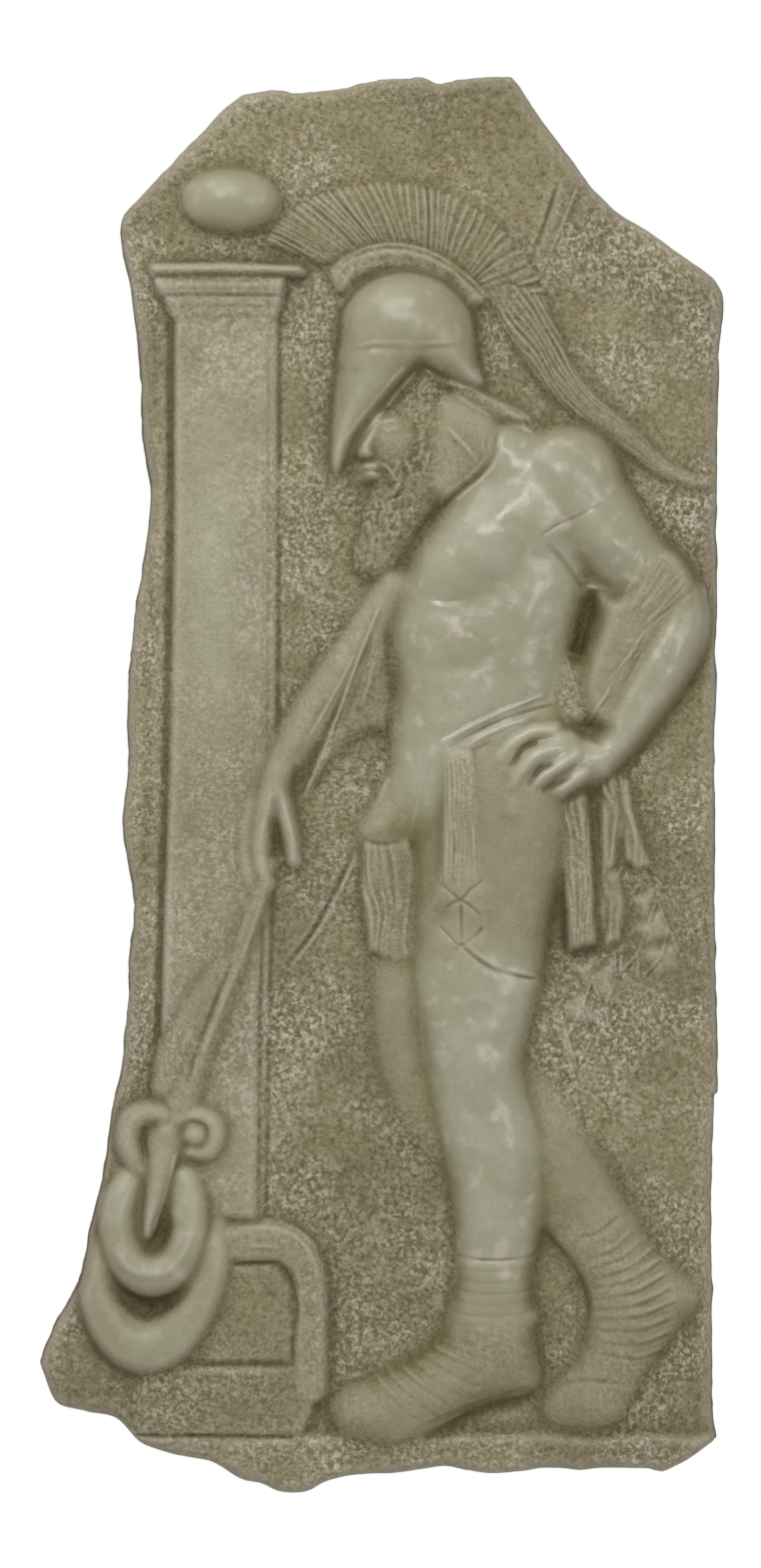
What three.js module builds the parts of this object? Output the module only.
import * as THREE from "three";

// A marble relief plaque that hangs on a wall. Sizes are in millimetres. Seen from the front, x runs to
// the right and z up, the relief rises towards -y, and the flat back lies in the plane y = 0.
// The origin is on the back, in the middle, where the wall fixing holds it.

// Driving dimensions
const SLAB = { ground: 24, rim: 14, rimRadius: 7, ledge: -326, ledgeRise: 7 };
const PILLAR = { top: 236, foot: -219, front: 5.5, side: 3.4, arris: 2.6, groove: 2.4 };
const CAPITAL = { top: 261, abacus: 254.6, ovolo: 245, neck: 233, lifts: [10.5, 9, 7] };
const BOSS = { centre: [-75.5, 292.8], radii: [25.5, 16.5], lift: 15, turn: -3 };
const BLOCK = { top: -239, base: -291, foot: -327, lift: 5, baseLift: 7 };
const CREST = { lift: 7.5, tufts: 15, tuftDepth: 1.5, tailLocks: 1.6, tailDepth: 1.3, holder: 8.5 };
const HELMET = { lift: 15, crown: 8, browHeight: 219, rimWidth: 1.6, rimRise: 1.3 };
const BEARD = { lift: 12, locks: 22, lockDepth: 1.3, waveLength: 6.5 };
const TORSO = { lift: 16, roundness: 30 };
const APRON = { lift: 19.5, pleats: 3, pleatDepth: 1.6, hem: -97 };
const SKIRT = { pleats: 2.5, pleatDepth: 2.6 };
const BOOT = { lift: 15, wraps: 4, wrapStep: 11, wrapDepth: 1.1, top: -236 };
const FINGER = { lift: 25, foot: 14 };
const BIG_LINK = { centre: [-113, -238], radii: [29, 44], from: -186, to: 22, half: 12.5, lift: 12.5 };
const SMALL_LINK = { centre: [-113.5, -218], radii: [19, 28], from: -218, to: 38, half: 10, lift: 16 };
const TOLERANCE = 0.92;

// The broken outline of the slab, from its top left corner round with the clock
const TOP_EDGE = [
  [-70, 348], [-47, 349.5], [-25, 350], [0, 355.5], [21, 356], [30, 353.5], [47, 356], [66, 356.5],
];
const RIGHT_EDGE = [
  [66, 356.5], [82, 334], [105, 302], [120, 287.5], [140, 275], [160, 260.5], [170, 252], [173, 242],
  [171, 215], [169.5, 60], [168.5, -20], [170, -150], [167, -210], [167, -290], [169.5, -330],
];
const BOTTOM_EDGE = [
  [169.5, -330], [157, -339], [142, -346], [112, -344.5], [60, -347], [32, -343.5], [-26, -350.5],
  [-45, -357], [-70, -350], [-85, -341], [-120, -332], [-135, -319.5], [-150, -316.5], [-164, -312],
  [-171, -296],
];
const LEFT_EDGE = [
  [-171, -296], [-164, -272], [-152, -252], [-146, -222], [-135.5, -165], [-127, -112], [-124, -50],
  [-130, -22], [-126.5, 10], [-124, 80], [-115.5, 145], [-121, 215], [-130.5, 280], [-124, 293],
  [-86, 333], [-79, 340.5], [-70, 348],
];

// Stations along a form: x, z, half width, and lift over the ground
const TAIL = [
  [62, 250, 14, 7], [71, 238, 14, 7], [80, 221, 12, 7], [89, 205, 10, 6.7], [115, 180.5, 7.5, 6.1],
  [141, 159, 5, 5.3], [169, 151, 3.5, 4.2],
];
const ROD = [[-56, -40, 5, 8], [-70, -84, 7, 9.5], [-88, -128, 9, 10.5], [-101, -163, 11.5, 11]];
const LEAF = [[-76, -84, 3, 7], [-94, -118, 11, 11.5], [-102, -136, 11, 11.5], [-108, -152, 8, 10]];
const PIN = [[-108, -178, 11, 12], [-112.5, -206, 6.5, 14], [-117, -227, 2.5, 11]];
const STRAP = [
  [-82, -230.5, 9.5, 8], [-54, -229.5, 10, 9], [-43, -234, 9.5, 9.5], [-36.5, -244, 8.5, 9.5],
  [-34.5, -262, 8, 9.5], [-36, -302, 9, 8],
];
const KNEE_BEHIND = [[10, -88, 13, 6], [8.5, -112, 12.5, 8], [17, -154, 13, 9], [42, -188, 12, 4]];
const CALF_BEHIND = [[66, -148, 14, 5], [90, -196, 22, 11.5], [116, -236, 20, 12]];
const FRONT_LEG = [
  [50, -60, 33, 19], [49, -90, 32.5, 19], [47, -115, 28.5, 19], [47, -138, 25, 19], [50, -158, 24.5, 18],
  [56, -180, 25.5, 18], [59, -200, 24, 18], [59, -220, 21.5, 17], [57, -246, 19.6, 16], [54, -275, 22, 15],
];
const LEFT_ARM = [[6, 100, 9, 8], [-19, 57, 12, 9], [-34, 36, 11.5, 9.5], [-52, 4, 9, 10.5]];
const LEFT_PALM = [[-51, 8, 8.5, 9], [-57, -12, 8, 11]];
const LEFT_FINGERS = [
  [[-57, -6, 5, 10.5], [-61, -33, 4.4, 10], [-55, -51, 3, 7]],
  [[-50, -4, 4.5, 10.5], [-46.5, -16, 4.4, 11.5], [-42, -37, 3.6, 8.5]],
  [[-63.5, -10, 3.6, 8.5], [-67.5, -38, 3.2, 8], [-65, -50, 3, 7]],
];
const UPPER_ARM = [[96, 150, 24, 19], [108, 134, 22, 20.5], [136, 104, 17, 17], [150, 92, 14, 15]];
const FOREARM = [
  [152, 90, 12, 16], [153, 80, 13, 18], [135, 44, 11.5, 20], [112, 14, 10, 18], [103, 8, 11, 18],
];
const RIGHT_PALM = [[108, 12, 10, 19], [88, 14, 12, 21]];
const RIGHT_FINGERS = [
  [[86, 27, 4.5, 22], [76, 26.5, 4.2, 23], [59, 13, 3.6, 22.5]],
  [[86, 18, 5, 24], [77, 14, 4.8, FINGER.lift], [65, -1, 3.8, 23.5]],
  [[97, 15, 5, 24], [90, 10, 4.6, FINGER.lift], [77, 1, 3.6, 24]],
  [[101, 6, 5, 23], [95, 1.5, 4.6, 24], [89, -3, 4, 23]],
];

// Outlines of the broad forms
const FAN_ROOTS = [[-25, 257.5], [-8, 268.5], [14, 270], [37, 260], [54, 244]];
const FAN_TIPS = [[-58, 272], [-35, 294], [6, 302], [50, 288], [84, 244]];
const HOLDER_INSIDE = [[48, 240], [34, 252], [20, 258], [4, 259], [-10, 254], [-19, 246]];
const HELMET_OUTLINE = [
  [-20, 224], [-19, 236], [-12, 247], [-1, 254], [12, 256.5], [26, 254], [37, 247.5], [45, 237],
  [48, 220], [52, 201], [36, 202.5], [19, 209.5], [0, 188], [-15, 168], [-22.5, 156], [-25, 175],
];
const BEARD_OUTLINE = [
  [-6, 152], [-11, 124], [-12, 103], [-3, 100], [13, 112], [29, 134], [45, 155], [42, 170],
  [28, 206], [18, 208], [-2, 186], [-12, 165],
];
const NECK_OUTLINE = [[26, 196], [46, 200], [76, 181], [64, 174], [57, 160], [34, 144], [20, 150]];
const TORSO_OUTLINE = [
  [52, 176], [62, 180], [78, 178], [92, 172], [104, 160], [106, 140], [101, 100], [94, 62], [92, 20],
  [84, -40], [40, -50], [14, -22], [5, 6], [9, 46], [6, 70], [11, 96], [20, 120], [42, 150],
];
const HIP_OUTLINE = [[6, 10], [-3, -6], [-11, -23], [-6, -29.5], [12, -29], [26, -10], [20, 6]];
const ARM_CLOTH = [[2, 80], [5, 32], [-16, 21.5], [-34, -2], [-22, 36]];
const APRON_OUTLINE = [
  [28, 22], [52, 32], [78, 45], [92, 40], [96, 18], [96, -20], [89, -50], [80, APRON.hem], [54, -90],
  [30, -70], [17, -76], [17, -40], [20, -10],
];
const ELBOW_CLOTH = [
  [104, 98], [128, 112], [150, 112], [158, 92], [130, 66], [110, 24], [98, 32], [104, 66],
];
const FRONT_BOOT = [
  [38, -262], [29, -280], [16, -290], [-16, -301], [-26, -315], [-13, -330], [2, -332], [32, -321],
  [60, -308], [80, -301], [78, -276], [76, -262],
];
const BACK_BOOT = [
  [86, -226], [102, -250], [102, -282], [84, -304], [86, -321], [113, -322.5], [127, -308], [138, -288],
  [160.5, -258], [148, -242], [120, -209], [100, -206],
];

// Geometry of the carving: every form is a function that takes x, z and the height so far, and gives
// the new height
const REACH = 16;
const BELOW = -60;
const WALL_SLOPE = 2.2;

const mix = (a, b, t) => a + (b - a) * t;
const clamp = THREE.MathUtils.clamp;
const radians = THREE.MathUtils.degToRad;

function smoothMax(a, b, blend) {
  const near = Math.max(blend - Math.abs(a - b), 0);
  return Math.max(a, b) + (blend > 0 ? (near * near) / (4 * blend) : 0);
}

// A smooth run through stations of any number of values
function smoothRun(stations, steps, closed = false) {
  const count = stations.length;
  const at = (i) => {
    if (closed) return stations[(i + count) % count];
    if (i < 0) return stations[0].map((v, k) => 2 * v - stations[1][k]);
    if (i >= count) return stations[count - 1].map((v, k) => 2 * v - stations[count - 2][k]);
    return stations[i];
  };
  const run = [];
  const spans = closed ? count : count - 1;
  for (let i = 0; i < spans; i++) {
    const [a, b, c, d] = [at(i - 1), at(i), at(i + 1), at(i + 2)];
    for (let s = 0; s < steps; s++) {
      const t = s / steps;
      run.push(b.map((v, k) => 0.5 * (2 * v + (c[k] - a[k]) * t
        + (2 * a[k] - 5 * v + 4 * c[k] - d[k]) * t ** 2 + (3 * v - a[k] - 3 * c[k] + d[k]) * t ** 3)));
    }
  }
  if (!closed) run.push(stations[count - 1]);
  return run;
}

// Limits a form to the box around its points
function within(points, margin, form) {
  const xs = points.map((p) => p[0]);
  const zs = points.map((p) => p[1]);
  const [left, right] = [Math.min(...xs) - margin, Math.max(...xs) + margin];
  const [low, high] = [Math.min(...zs) - margin, Math.max(...zs) + margin];
  return (x, z, h) => (x < left || x > right || z < low || z > high ? h : form(x, z, h));
}

// Where a point lies beside one segment: the share along it and the distance from it
function beside(x, z, a, b) {
  const [dx, dz] = [b[0] - a[0], b[1] - a[1]];
  const t = clamp(((x - a[0]) * dx + (z - a[1]) * dz) / Math.max(dx * dx + dz * dz, 1e-9), 0, 1);
  return [t, Math.hypot(x - a[0] - t * dx, z - a[1] - t * dz)];
}

// The nearest place of a run: the share of its length, and the distance with its side as the sign
function alongRun(x, z, run) {
  let [nearest, share, side] = [Infinity, 0, 1];
  for (let i = 0; i < run.length - 1; i++) {
    const [a, b] = [run[i], run[i + 1]];
    const [t, distance] = beside(x, z, a, b);
    if (distance < nearest) {
      nearest = distance;
      share = (i + t) / (run.length - 1);
      side = (b[0] - a[0]) * (z - a[1]) < (b[1] - a[1]) * (x - a[0]) ? -1 : 1;
    }
  }
  return [share, side * nearest];
}

function insideDistance(x, z, outline) {
  let [nearest, inside] = [Infinity, false];
  outline.forEach((a, i) => {
    const b = outline[(i + 1) % outline.length];
    nearest = Math.min(nearest, beside(x, z, a, b)[1]);
    const crosses = (a[1] > z) !== (b[1] > z);
    if (crosses && x < ((b[0] - a[0]) * (z - a[1])) / (b[1] - a[1]) + a[0]) inside = !inside;
  });
  return inside ? nearest : -nearest;
}

const domed = (q, power = 2) => Math.sqrt(Math.max(1 - q ** power, 0));

// A rounded limb through stations
function limb(stations, { blend = 0, foot = -1, power = 2, steps = 8 } = {}) {
  const run = smoothRun(stations, steps);
  const widest = Math.max(...run.map((s) => s[2]));
  return within(run, widest + REACH, (x, z, h) => {
    let rise = BELOW;
    for (let i = 0; i < run.length - 1; i++) {
      const [t, distance] = beside(x, z, run[i], run[i + 1]);
      const half = mix(run[i][2], run[i + 1][2], t);
      const lift = mix(run[i][3], run[i + 1][3], t);
      const q = distance / half;
      const here = q < 1 ? foot + (lift - foot) * domed(q, power) : foot - (distance - half) * WALL_SLOPE;
      rise = Math.max(rise, here);
    }
    return smoothMax(h, SLAB.ground + rise, blend);
  });
}

// A field inside an outline, its edge rounded off over the given width
function plate(outline, lift, edge, { blend = 0, foot = -1, curved = true, climb = 0 } = {}) {
  const run = curved ? smoothRun(outline, 4, true) : outline;
  const middle = run.reduce((sum, p) => sum + p[1], 0) / run.length;
  return within(run, REACH, (x, z, h) => {
    const depth = insideDistance(x, z, run);
    const full = lift + climb * (z - middle) - foot;
    const rise = foot + (depth > 0 ? full * domed(clamp(1 - depth / edge, 0, 1)) : depth * WALL_SLOPE);
    return smoothMax(h, SLAB.ground + rise, blend);
  });
}

// A soft lump, or with a negative amount a hollow
function swell([cx, cz], [rx, rz], amount, turn = 0) {
  const [cos, sin] = [Math.cos(radians(turn)), Math.sin(radians(turn))];
  return within([[cx, cz]], Math.max(rx, rz), (x, z, h) => {
    const u = ((x - cx) * cos + (z - cz) * sin) / rx;
    const v = ((z - cz) * cos - (x - cx) * sin) / rz;
    return h + amount * Math.max(1 - u * u - v * v, 0) ** 2;
  });
}

function ball([cx, cz], [rx, rz], lift, { turn = 0, foot = -1, blend = 0 } = {}) {
  const [cos, sin] = [Math.cos(radians(turn)), Math.sin(radians(turn))];
  return within([[cx, cz]], Math.max(rx, rz) + REACH, (x, z, h) => {
    const q = Math.hypot(((x - cx) * cos + (z - cz) * sin) / rx, ((z - cz) * cos - (x - cx) * sin) / rz);
    const beyond = (q - 1) * Math.min(rx, rz);
    const rise = q < 1 ? foot + (lift - foot) * domed(q) : foot - beyond * WALL_SLOPE;
    return smoothMax(h, SLAB.ground + rise, blend);
  });
}

// A ridge along a curve, or with a negative amount a cut
function stroke(points, width, amount) {
  const run = smoothRun(points, 5);
  return within(run, 3 * width, (x, z, h) => {
    const distances = run.slice(1).map((b, i) => beside(x, z, run[i], b)[1]);
    return h + amount * Math.exp(-((Math.min(...distances) / width) ** 2));
  });
}

// Forms worked together on their own, then laid on the carving
function layer(blend, forms) {
  return (x, z, h) => {
    const own = forms.reduce((height, form) => form(x, z, height), SLAB.ground + BELOW);
    return smoothMax(h, own, blend);
  };
}

// Stations round an elliptic arc, its ends a little lower and thinner
function arcStations({ centre, radii, from, to, half, lift }, count = 11) {
  return Array.from({ length: count }, (_, i) => {
    const turn = radians(mix(from, to, i / (count - 1)));
    const drop = Math.abs((2 * i) / (count - 1) - 1) ** 3;
    return [centre[0] + radii[0] * Math.cos(turn), centre[1] + radii[1] * Math.sin(turn),
      half * (1 - 0.25 * drop), lift * (1 - 0.45 * drop)];
  });
}

// Pleats between two slanting sides, as ridges added where the cloth hangs
function pleats([left, right], [top, bottom], spread, count, depth, outline) {
  return within(outline, 0, (x, z, h) => {
    const t = clamp((top - z) / (top - bottom), 0, 1);
    const u = (x - left + spread * t) / (right - left + 2 * spread * t);
    const ridge = Math.abs(((((u * count) % 1) + 1) % 1) - 0.5) * 2;
    return h + depth * (ridge - 0.5) * clamp(6 * t + 0.3, 0, 1);
  });
}

const rectangle = (x0, x1, z0, z1) => [[x0, z0], [x1, z0], [x1, z1], [x0, z1]];

// The parts of the carving, from the ground forwards
function groundForms() {
  const { ledge, ledgeRise } = SLAB;
  return [
    (x, z, h) => h + 1.2 * Math.sin(x / 61 + 1) * Math.cos(z / 83) + 0.5 * Math.sin(x / 23 + z / 31),
    (x, z, h) => h + ledgeRise * clamp((ledge - z) / 3 + 0.5, 0, 1),
  ];
}

function pillarForms() {
  const { top, foot, front, side, arris, groove } = PILLAR;
  const face = [
    [-103.5, top], [-103.5, 120], [-111, -150], [-113, foot], [-62, foot], [-61, -120], [-56.5, top],
  ];
  const flank = [[-60, top], [-60, foot], [-58, foot], [-57.5, -150], [-53, -20], [-51, top]];
  return [
    layer(0.6, [
      plate(face, front, arris, { foot: 0, curved: false }),
      plate(flank, side, 2 * arris, { foot: 0, curved: false }),
    ]),
    stroke([[-106, top], [-106, 120], [-112, -120], [-115, -160]], groove, -groove),
  ];
}

function capitalForms() {
  const { top, abacus, ovolo, neck, lifts } = CAPITAL;
  const neckOutline = [[-104.5, neck], [-110, ovolo], [-48.5, ovolo], [-52, neck]];
  const ovoloOutline = [[-114, abacus], [-111, ovolo], [-49, ovolo], [-47.5, abacus]];
  const abacusOutline = [[-116, abacus], [-115.5, top], [-41, top - 1], [-37, abacus]];
  return [layer(0.8, [
    plate(neckOutline, lifts[2], 2, { curved: false, climb: 0.16 }),
    plate(ovoloOutline, lifts[1], 2.6, { curved: false }),
    plate(abacusOutline, lifts[0], 2.4, { curved: false }),
  ])];
}

function bossForms() {
  return [layer(0.8, [ball(BOSS.centre, BOSS.radii, BOSS.lift, { turn: BOSS.turn })])];
}

function crestForms() {
  const { lift, tufts, tuftDepth, tailLocks, tailDepth, holder } = CREST;
  const tail = smoothRun(TAIL, 8);
  const fan = [...FAN_TIPS, ...[...FAN_ROOTS].reverse()];
  const roots = smoothRun(FAN_ROOTS, 8);
  const locks = (x, z, h) => {
    const [share, side] = alongRun(x, z, tail);
    const half = tail[Math.round(share * (tail.length - 1))][2];
    const lateral = side / half;
    if (Math.abs(lateral) > 1) return h;
    return h + tailDepth * (Math.abs(Math.cos(Math.PI * (tailLocks * lateral + Math.sin(6 * share)))) - 0.7);
  };
  const hair = (x, z, h) => {
    const [share, side] = alongRun(x, z, roots);
    return side > 0 ? h + tuftDepth * (Math.abs(Math.sin(Math.PI * tufts * share)) - 0.7) : h;
  };
  return [
    layer(0.6, [limb(TAIL, { foot: 0.5, power: 2.2 }), within(TAIL, REACH, locks)]),
    layer(0.5, [plate(fan, lift, 7, { foot: 0 }), within(fan, 0, hair)]),
    layer(0.5, [plate([...FAN_ROOTS, ...HOLDER_INSIDE], holder, 2, { foot: 0 })]),
  ];
}

function legBehindForms() {
  const wraps = Array.from({ length: BOOT.wraps }, (_, i) => {
    const t = i / (BOOT.wraps - 1);
    return stroke([[102 + 8 * t, -240 - 44 * t], [124 + 18 * t, -226 - 58 * t]], 2, -BOOT.wrapDepth);
  });
  return [
    layer(2.5, [limb(KNEE_BEHIND), limb(CALF_BEHIND, { blend: 3 })]),
    layer(1.4, [plate(BACK_BOOT, 12.5, 20), swell([148, -257], [15, 13], 2), ...wraps]),
    stroke([[80, -222], [99, -245], [105, -271]], 1.8, -1.8),
  ];
}

function skirtForms() {
  const { pleats: count, pleatDepth } = SKIRT;
  const hung = (x0, x1, top, bottom, spread, lift) => {
    const outline = [[x0, top], [x1, top], [x1 + spread, bottom], [x0 - spread, bottom]];
    return layer(0.7, [
      plate(outline, lift, 3, { curved: false, foot: 0 }),
      pleats([x0, x1], [top, bottom], spread, count, pleatDepth, outline),
    ]);
  };
  return [
    hung(-9, 17, -28, -88, 0, 7.5),
    hung(109, 120, 6, -45, 1, 8),
    hung(119, 124, 5, -42, 5, 8),
    hung(109, 121, -42, -80, 0, 5),
    hung(91, 105, 0, -83, 2, 12),
  ];
}

function blockForms() {
  const { top, base, foot, lift, baseLift } = BLOCK;
  const baseOutline = [[-130, base], [-42, base], [-30, -297], [-39, foot], [-128, foot]];
  return [
    layer(0.8, [
      plate(baseOutline, baseLift, 3, { curved: false }),
      plate(rectangle(-100, -43, base, top), lift, 5, { curved: false }),
    ]),
    layer(0.8, [limb(STRAP, { foot: 3, power: 5 })]),
    stroke([[-126, foot], [-84, foot], [-42, foot]], 1.5, -2.2),
    stroke([[-74, -240.5], [-50, -240.5], [-42, -262], [-44, -289]], 1.5, -1.8),
  ];
}

function linkForms() {
  const leftLobe = [
    [-104, -167, 6, 11], [-114, -164.5, 7, 13], [-126.5, -177, 7.5, 13.5], [-119, -195, 5, 9],
  ];
  const rightLobe = [
    [-103, -168, 6, 11], [-92, -165.5, 6.5, 12], [-82.5, -177.5, 6.8, 12], [-96, -184, 5, 9],
  ];
  return [
    layer(1.2, [limb(ROD), limb(LEAF, { blend: 1.5 }), stroke([[-76, -90], [-97, -150]], 2, -1.8)]),
    layer(0.8, [limb(arcStations(BIG_LINK), { power: 2.4 })]),
    stroke([[-138, -243], [-118, -262], [-96, -250]], 4.5, -6),
    layer(0.8, [limb(arcStations(SMALL_LINK), { foot: 1, power: 2.6 })]),
    stroke([[-105, -221], [-116, -231], [-122, -214]], 5, -5),
    layer(0.7, [limb(PIN, { foot: 1 })]),
    layer(0.9, [limb(leftLobe), limb(rightLobe), ball([-93, -175], [6.5, 6], 9.5, { foot: 4 })]),
  ];
}

function leftArmForms() {
  return [
    layer(2.2, [
      plate(ARM_CLOTH, 5, 7),
      limb(LEFT_ARM, { blend: 1, foot: -1.5 }),
      stroke([[-2, 84], [-20, 42], [-39, -7]], 1.5, 2.6),
    ]),
    layer(1.4, [limb(LEFT_PALM), ...LEFT_FINGERS.map((finger) => limb(finger, { blend: 1.5, foot: 0 }))]),
  ];
}

function torsoForms() {
  const { lift, roundness } = TORSO;
  const ribs = Array.from({ length: 5 }, (_, i) => swell([84 - 7 * i, 97 - 8 * i], [11, 5.5], 0.8, 38));
  return [
    layer(2, [
      plate(TORSO_OUTLINE, lift, roundness),
      swell([54, 124], [50, 30], 5, 22),
      swell([88, 138], [26, 28], 3),
      swell([24, 106], [20, 18], 1.8, 20),
      swell([76, 86], [26, 34], 2, -10),
      swell([26, 74], [22, 24], 1.6),
      swell([24, 48], [20, 20], 1.6),
      swell([50, 48], [22, 16], 1.2),
      swell([24, 18], [22, 26], 1.8),
      ...ribs,
      stroke([[14, 98], [32, 90], [56, 99], [78, 118]], 4, -1.3),
    ]),
    layer(2.5, [plate(NECK_OUTLINE, 12, 14, { foot: 1 }), stroke([[33, 181], [50, 161]], 2, 1.4)]),
    layer(3, [plate(HIP_OUTLINE, 11, 12)]),
  ];
}

function frontLegForms() {
  const wraps = Array.from({ length: BOOT.wraps }, (_, i) => {
    const z = BOOT.top - BOOT.wrapStep * i;
    return stroke([[36, z + 1.2], [56, z - 0.6], [79, z + 1.2]], 1.6, -BOOT.wrapDepth);
  });
  return [
    layer(1.6, [
      limb(FRONT_LEG, { power: 2.2 }),
      swell([38, -122], [18, 22], 1),
      swell([46, -146], [20, 20], 1.4),
      swell([66, -185], [14, 36], 1.2),
      ...wraps,
    ]),
    layer(1, [
      plate(FRONT_BOOT, BOOT.lift, 17),
      swell([58, -280], [22, 26], 2),
      swell([36, -298], [34, 18], 2.4, 25),
      swell([-6, -314], [20, 14], 2, 10),
    ]),
    stroke([[34, -322.5], [56, -314], [78, -308]], 3, -4),
  ];
}

function apronForms() {
  const { lift, pleats: count, pleatDepth, hem } = APRON;
  const bundle = [[32.5, 18], [45, 19], [49.5, -20], [51, -47], [40, -56], [29.5, -48]];
  return [
    layer(1, [plate(APRON_OUTLINE, lift, 26), swell([62, -20], [32, 62], 2.6)]),
    stroke([[30, 20], [56, 34], [82, 45]], 1.5, 1.6),
    stroke([[27, 20], [17.5, -8], [18, -38]], 1.5, 1),
    layer(0.8, [
      plate(bundle, lift + 2, 2.4, { foot: lift - 2.5, curved: false }),
      pleats([32, 45], [18, -50], 3, count, pleatDepth, bundle),
    ]),
    stroke([[40, -80], [58, -93], [79, hem]], 1.4, -1.6),
  ];
}

function headForms() {
  const { lift, crown, browHeight, rimWidth, rimRise } = HELMET;
  const beardLocks = (x, z, h) => {
    const flow = Math.atan2(x - 30, 212 - z);
    const reach = Math.hypot(x - 30, 212 - z);
    const wave = Math.sin(BEARD.locks * flow + 1.5 * Math.sin(reach / BEARD.waveLength));
    return h + BEARD.lockDepth * wave * clamp((reach - 30) / 10, 0, 1);
  };
  return [
    layer(1.5, [plate(BEARD_OUTLINE, BEARD.lift, 13, { foot: 0 }), within(BEARD_OUTLINE, 0, beardLocks)]),
    layer(2, [
      limb([[-1, 186, 3.6, 12], [-6, 176, 3.6, 12.5], [-9.5, 167, 3.4, 12.5]], { foot: 6 }),
      ball([5, 172], [11, 12], 12.5, { foot: 6, blend: 2 }),
      ball([0, 154], [8, 6], 11.5, { foot: 6, turn: 20, blend: 2 }),
    ]),
    layer(0.8, [
      plate(HELMET_OUTLINE, lift, 16, { foot: 1 }),
      swell([13, 229], [42, 42], crown),
      swell([-6, 198], [16, 32], 2.4, -8),
      stroke([[-13, browHeight - 1], [12, browHeight], [41, browHeight + 2]], rimWidth, rimRise),
    ]),
    stroke([[-15, 164], [1, 186.5], [19, 207.5]], rimWidth, rimRise),
  ];
}

function rightArmForms() {
  return [
    layer(1, [plate(ELBOW_CLOTH, 11, 8, { foot: 0 })]),
    layer(1.6, [limb(UPPER_ARM), ball([93, 153], [27, 26], 20, { foot: 2, blend: 8 })]),
    layer(1.2, [limb(FOREARM), stroke([[147, 84], [130, 66], [108, 24]], 2, 1.4)]),
    stroke([[82, 120], [102, 97]], 2.5, -2.2),
    stroke([[103, 95], [104.5, 78], [100, 56]], 3.6, -9),
  ];
}

function rightHandForms() {
  return [layer(0.8, [
    limb(RIGHT_PALM, { foot: 8 }),
    ball([88, 16], [15, 13], 22, { turn: -20, foot: 10, blend: 4 }),
    ...RIGHT_FINGERS.map((finger) => limb(finger, { blend: 1.2, foot: FINGER.foot })),
  ])];
}

const CARVING = [
  groundForms, pillarForms, capitalForms, bossForms, crestForms, legBehindForms, skirtForms, blockForms,
  linkForms, leftArmForms, torsoForms, frontLegForms, apronForms, headForms, rightArmForms, rightHandForms,
].flatMap((forms) => forms());

// The slab: its outline in four sides, and a grid spread evenly between them
const CELLS = 256;
const ROWS = 2 * CELLS;
const COLUMNS = CELLS + 1;
const EDGE_STEPS = 6;
const RIM_SKIP = 4;
const RIM_WEIGHT = 2;
const FIRST_LIMIT = 16;
const LIMIT_STEP = 0.8;

// A side with its points set at even distances
function evenly(points, count) {
  const run = smoothRun(points, EDGE_STEPS).map(([x, z]) => new THREE.Vector3(x, 0, z));
  const path = new THREE.CurvePath();
  run.slice(1).forEach((p, i) => path.add(new THREE.LineCurve3(run[i], p)));
  return Array.from({ length: count + 1 }, (_, i) => path.getPointAt(i / count));
}

const SIDES = {
  top: evenly(TOP_EDGE, CELLS),
  right: evenly([...RIGHT_EDGE].reverse(), ROWS),
  bottom: evenly([...BOTTOM_EDGE].reverse(), CELLS),
  left: evenly(LEFT_EDGE, ROWS),
};
const RIM = [
  ...SIDES.bottom.slice(0, -1), ...SIDES.right.slice(0, -1),
  ...[...SIDES.top].reverse().slice(0, -1), ...[...SIDES.left].reverse().slice(0, -1),
].filter((_, i) => i % RIM_SKIP === 0).map((p) => [p.x, p.z]);

// The place of a grid corner between the four sides
function gridPlace(column, row) {
  const [u, v] = [column / CELLS, row / ROWS];
  const { top, right, bottom, left } = SIDES;
  const across = (axis) => mix(left[row][axis], right[row][axis], u);
  const upward = (axis) => mix(bottom[column][axis], top[column][axis], v);
  const corners = (axis) => mix(mix(bottom[0][axis], bottom[CELLS][axis], u),
    mix(top[0][axis], top[CELLS][axis], u), v);
  return ["x", "z"].map((axis) => across(axis) + upward(axis) - corners(axis));
}

function surfaceHeight(x, z) {
  const height = CARVING.reduce((h, form) => form(x, z, h), SLAB.ground);
  const inset = clamp(1 - insideDistance(x, z, RIM) / SLAB.rimRadius, 0, 1);
  return height - (height - SLAB.rim) * (1 - domed(inset));
}

const corner = (column, row) => row * COLUMNS + column;
const GRID = Array.from({ length: COLUMNS * (ROWS + 1) }, (_, i) => {
  const [x, z] = gridPlace(i % COLUMNS, Math.floor(i / COLUMNS));
  return new THREE.Vector3(x, -surfaceHeight(x, z), z);
});

// How much longer the surface is at a grid corner than its view from the front
function steepness(column, row) {
  const near = (c, r) => GRID[corner(clamp(c, 0, CELLS), clamp(r, 0, ROWS))];
  const [west, east] = [near(column - 1, row), near(column + 1, row)];
  const [south, north] = [near(column, row - 1), near(column, row + 1)];
  return Math.hypot(1, (east.y - west.y) / (east.x - west.x), (north.y - south.y) / (north.z - south.z));
}

const STEEPNESS = GRID.map((_, i) => steepness(i % COLUMNS, Math.floor(i / COLUMNS)));

// Twice the area of a triangle of grid corners, positive when they turn clockwise
const turning = (a, b, c) => (b[0] - c[0]) * (a[1] - c[1]) - (b[1] - c[1]) * (a[0] - c[0]);

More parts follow.
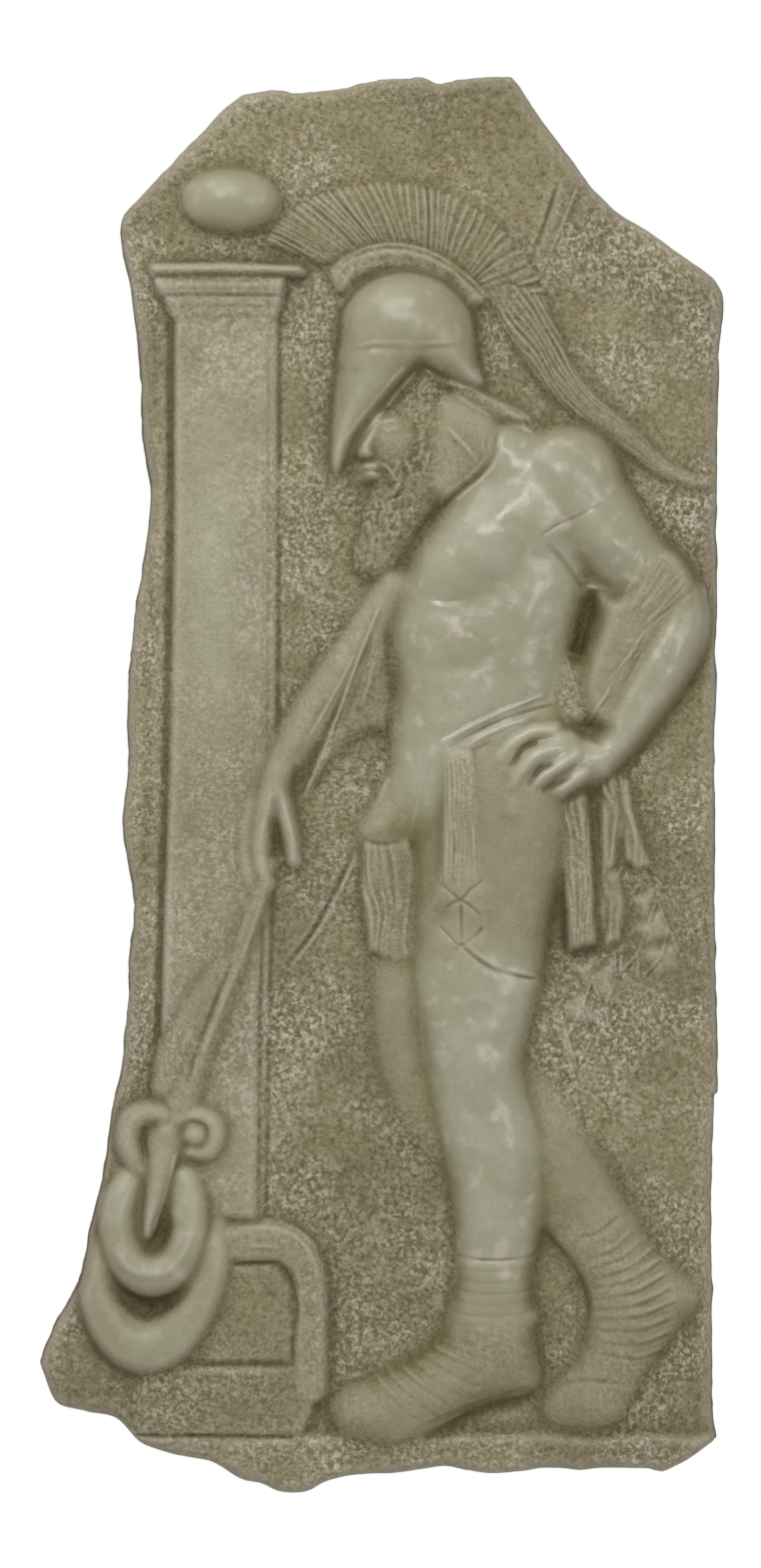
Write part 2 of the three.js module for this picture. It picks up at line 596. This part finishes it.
// Whether a place lies inside the circle through three others
function inCircle(a, b, c, place) {
  const rows = [a, b, c].map(([x, z]) => {
    const [dx, dz] = [x - place[0], z - place[1]];
    return [dx, dz, dx * dx + dz * dz];
  });
  return new THREE.Matrix3().set(...rows.flat()).determinant() < 0;
}

// A Delaunay mesh over the grid, which takes in the corner that lies furthest from it, again and again.
// Side 3t + k of triangle t starts at its corner k, and its twin is the same side of the neighbour.
class FrontMesh {
  constructor() {
    this.places = [[0, 0], [CELLS, 0], [0, ROWS], [CELLS, ROWS]];
    this.corners = [];
    this.twins = [];
    this.worst = [];
    this.changed = new Set();
    const first = this.setTriangle([3, 0, 2], [-1, -1, -1]);
    this.setTriangle([0, 3, 1], [first, -1, -1]);
    this.measureChanged();
  }

  setTriangle(corners, twins, side = this.corners.length) {
    corners.forEach((value, k) => { this.corners[side + k] = value; });
    twins.forEach((twin, k) => {
      this.twins[side + k] = twin;
      if (twin >= 0) this.twins[twin] = side + k;
    });
    this.changed.add(side / 3);
    return side;
  }

  measureChanged() {
    this.changed.forEach((t) => { this.worst[t] = this.furthestCorner(t); });
    this.changed.clear();
  }

  furthestCorner(t) {
    const [a, b, c] = [0, 1, 2].map((k) => this.places[this.corners[3 * t + k]]);
    const [pa, pb, pc] = [a, b, c].map((p) => GRID[corner(...p)]);
    const whole = turning(a, b, c);
    const furthest = { error: 0, place: a };
    for (let row = Math.min(a[1], b[1], c[1]); row <= Math.max(a[1], b[1], c[1]); row++) {
      for (let column = Math.min(a[0], b[0], c[0]); column <= Math.max(a[0], b[0], c[0]); column++) {
        const p = [column, row];
        const [wa, wb, wc] = [turning(b, c, p) / whole, turning(c, a, p) / whole, turning(a, b, p) / whole];
        if (wa < 0 || wb < 0 || wc < 0 || Math.max(wa, wb, wc) === 1) continue;
        const here = corner(column, row);
        const flat = (axis) => wa * pa[axis] + wb * pb[axis] + wc * pc[axis];
        const onRim = column === 0 || column === CELLS || row === 0 || row === ROWS;
        const aside = onRim ? Math.hypot(flat("x") - GRID[here].x, flat("z") - GRID[here].z) : 0;
        const error = Math.abs(flat("y") - GRID[here].y) / STEEPNESS[here] + RIM_WEIGHT * aside;
        if (error > furthest.error) Object.assign(furthest, { error, place: p });
      }
    }
    return furthest;
  }

  // Turns the shared side of two triangles where that makes both of them rounder
  legalize(side) {
    const twin = this.twins[side];
    if (twin < 0) return;
    const [start, twinStart] = [side - (side % 3), twin - (twin % 3)];
    const [left, right] = [start + ((side + 1) % 3), start + ((side + 2) % 3)];
    const [twinLeft, twinRight] = [twinStart + ((twin + 2) % 3), twinStart + ((twin + 1) % 3)];
    const [near, low, high, far] = [right, side, left, twinLeft].map((k) => this.corners[k]);
    if (!inCircle(...[near, low, high, far].map((k) => this.places[k]))) return;
    const [tl, tr, ttl, ttr] = [left, right, twinLeft, twinRight].map((k) => this.twins[k]);
    const first = this.setTriangle([near, far, high], [-1, ttl, tl], start);
    const second = this.setTriangle([far, near, low], [first, tr, ttr], twinStart);
    this.legalize(first + 1);
    this.legalize(second + 2);
  }

  takeIn(t) {
    const place = this.worst[t].place;
    const added = this.places.push(place) - 1;
    const corners = [0, 1, 2].map((k) => this.corners[3 * t + k]);
    const ends = corners.map((k) => this.places[k]);
    const onSide = [0, 1, 2].find((k) => turning(ends[k], ends[(k + 1) % 3], place) === 0);
    if (onSide !== undefined) {
      this.takeInOnSide(added, 3 * t + onSide);
      return;
    }
    const twins = [0, 1, 2].map((k) => this.twins[3 * t + k]);
    const first = this.setTriangle([corners[0], corners[1], added], [twins[0], -1, -1], 3 * t);
    const second = this.setTriangle([corners[1], corners[2], added], [twins[1], -1, first + 1]);
    const third = this.setTriangle([corners[2], corners[0], added], [twins[2], first + 2, second + 1]);
    [first, second, third].forEach((side) => this.legalize(side));
  }

  takeInOnSide(added, side) {
    const start = side - (side % 3);
    const [left, right] = [start + ((side + 1) % 3), start + ((side + 2) % 3)];
    const [near, low, high] = [right, side, left].map((k) => this.corners[k]);
    const [leftTwin, rightTwin, twin] = [left, right, side].map((k) => this.twins[k]);
    if (twin < 0) {
      const first = this.setTriangle([added, near, low], [-1, rightTwin, -1], start);
      const second = this.setTriangle([near, added, high], [first, -1, leftTwin]);
      this.legalize(first + 1);
      this.legalize(second + 2);
      return;
    }
    const twinStart = twin - (twin % 3);
    const [twinLeft, twinRight] = [twinStart + ((twin + 2) % 3), twinStart + ((twin + 1) % 3)];
    const far = this.corners[twinLeft];
    const [ttl, ttr] = [twinLeft, twinRight].map((k) => this.twins[k]);
    const first = this.setTriangle([near, low, added], [rightTwin, -1, -1], start);
    const second = this.setTriangle([low, far, added], [ttr, -1, first + 1], twinStart);
    const third = this.setTriangle([far, high, added], [ttl, -1, second + 1]);
    const fourth = this.setTriangle([high, near, added], [leftTwin, first + 2, third + 1]);
    [first, second, third, fourth].forEach((k) => this.legalize(k));
  }

  // Takes in corners until none is further off than the tolerance, the worst ones first
  refine() {
    for (let limit = FIRST_LIMIT; limit > TOLERANCE;) {
      limit = Math.max(LIMIT_STEP * limit, TOLERANCE);
      let open = true;
      while (open) {
        const due = this.worst.flatMap(({ error }, t) => (error > limit ? [t] : []));
        due.forEach((t) => { if (!this.changed.has(t)) this.takeIn(t); });
        this.measureChanged();
        open = due.length > 0;
      }
    }
  }
}

function frontTriangles() {
  const mesh = new FrontMesh();
  mesh.refine();
  const at = mesh.corners.map((k) => corner(...mesh.places[k]));
  return Array.from({ length: at.length / 3 }, (_, t) => at.slice(3 * t, 3 * t + 3));
}

// The grid corners of the rim that the front uses, once round against the clock
function rimCorners(used) {
  const round = [];
  for (let i = 0; i < CELLS; i++) round.push(corner(i, 0));
  for (let i = 0; i < ROWS; i++) round.push(corner(CELLS, i));
  for (let i = CELLS; i > 0; i--) round.push(corner(i, ROWS));
  for (let i = ROWS; i > 0; i--) round.push(corner(0, i));
  return round.filter((i) => used.has(i));
}

// One closed body: the carved front, the broken sides and the flat back
function plaqueGeometry() {
  const front = frontTriangles();
  const used = new Set(front.flat());
  const rim = rimCorners(used);
  const points = [];
  const index = [];
  const slots = new Map();
  for (const i of used) {
    slots.set(i, points.length);
    points.push(GRID[i]);
  }
  const backStart = points.length;
  rim.forEach((i) => points.push(new THREE.Vector3(GRID[i].x, 0, GRID[i].z)));
  for (const [a, b, c] of front) index.push(slots.get(a), slots.get(c), slots.get(b));
  rim.forEach((i, k) => {
    const next = (k + 1) % rim.length;
    const [frontHere, frontNext] = [slots.get(i), slots.get(rim[next])];
    index.push(frontHere, backStart + k, frontNext, frontNext, backStart + k, backStart + next);
  });
  const backOutline = rim.map((i) => new THREE.Vector2(GRID[i].x, GRID[i].z));
  for (const [a, b, c] of THREE.ShapeUtils.triangulateShape(backOutline, [])) {
    index.push(backStart + a, backStart + c, backStart + b);
  }
  const geometry = new THREE.BufferGeometry().setFromPoints(points);
  geometry.setIndex(index);
  geometry.computeVertexNormals();
  return geometry;
}

const marble = new THREE.MeshStandardMaterial({ color: 0x8f8a72, roughness: 0.45, metalness: 0 });
const plaque = new THREE.Mesh(plaqueGeometry(), marble);
plaque.name = "relief_plaque";

const group = new THREE.Group();
group.add(plaque);

export default group;
